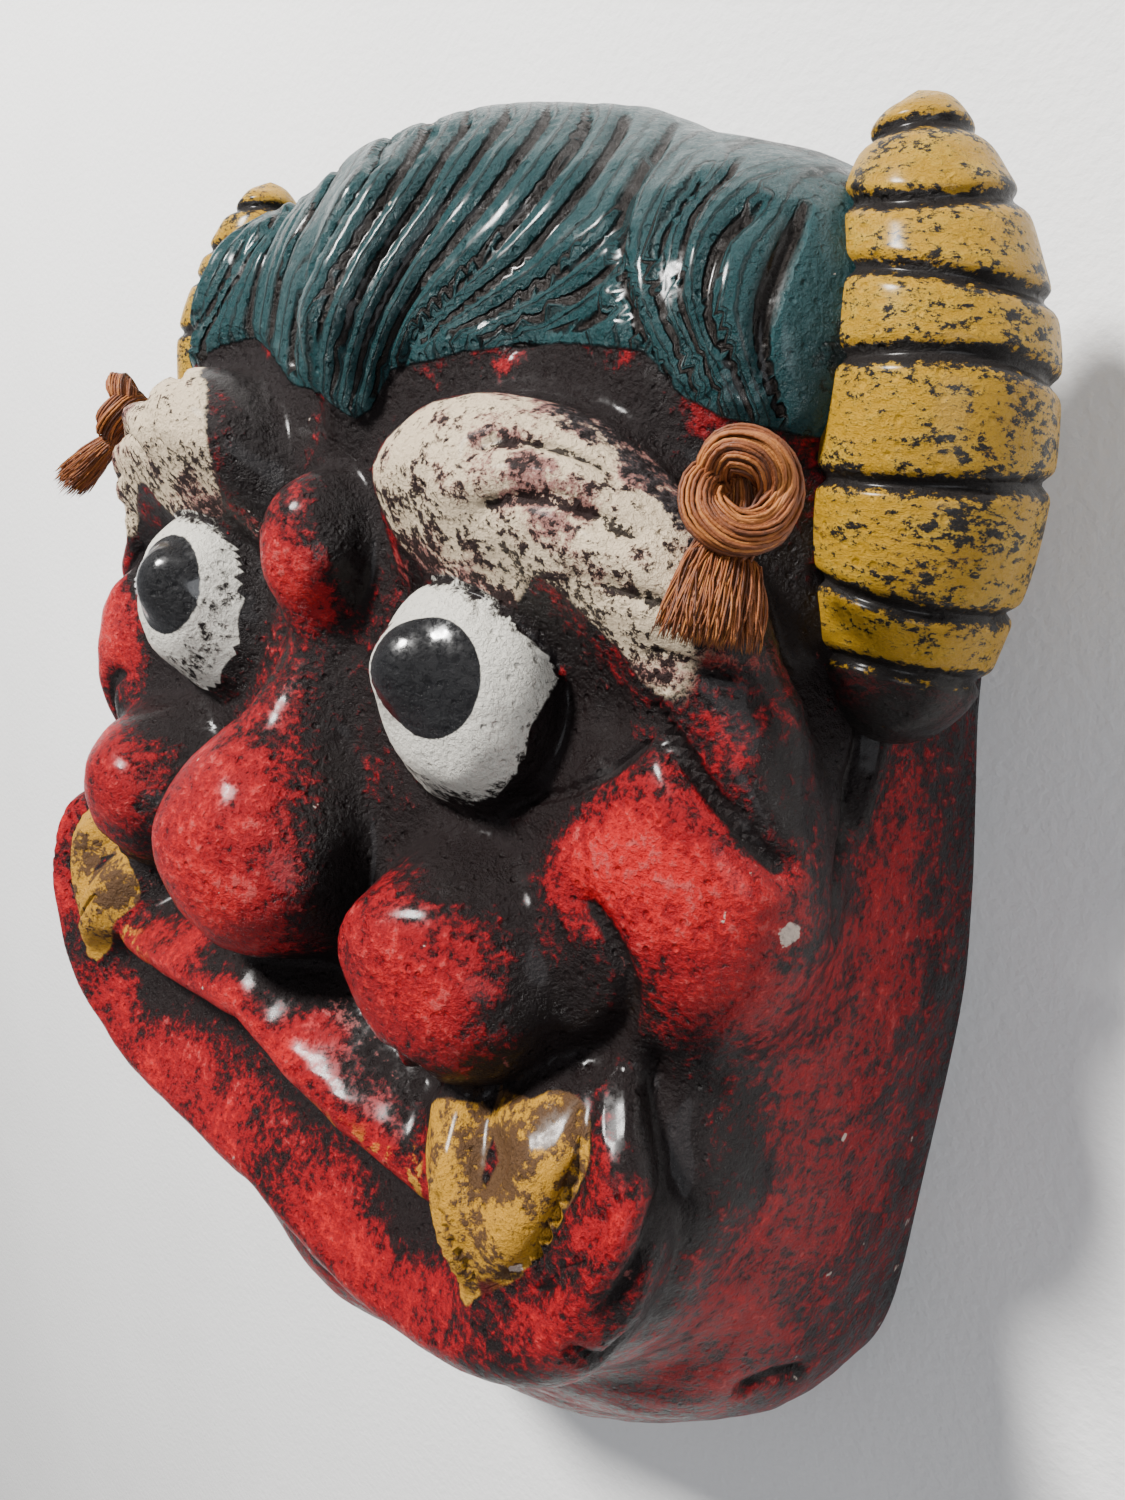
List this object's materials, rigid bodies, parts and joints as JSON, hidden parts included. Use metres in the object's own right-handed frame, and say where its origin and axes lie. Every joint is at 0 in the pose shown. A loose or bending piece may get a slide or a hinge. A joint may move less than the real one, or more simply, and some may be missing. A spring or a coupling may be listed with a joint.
{
  "type": "oni mask",
  "caption": "Cast plaster oni mask with combed hair, ringed horns, bulging eyes and gold fangs, and a fibre tassel at each temple.",
  "frame": {"origin": "centre of the mask's flat rim, in the plane that it rests on", "axes": "+Z out of the face, +Y up the face towards the hair, +X to the viewer's right"},
  "size_m": [0.2472, 0.305, 0.1121],
  "materials": {
    "painted_plaster": "worn satin paint over cast plaster, red with black antiquing, teal hair and ochre horns",
    "fibre": "dry orange-brown plant fibre"
  },
  "bodies": {
    "root": {"mask": "painted_plaster", "tassel_left": "fibre", "tassel_right": "fibre"}
  },
  "joints": []
}
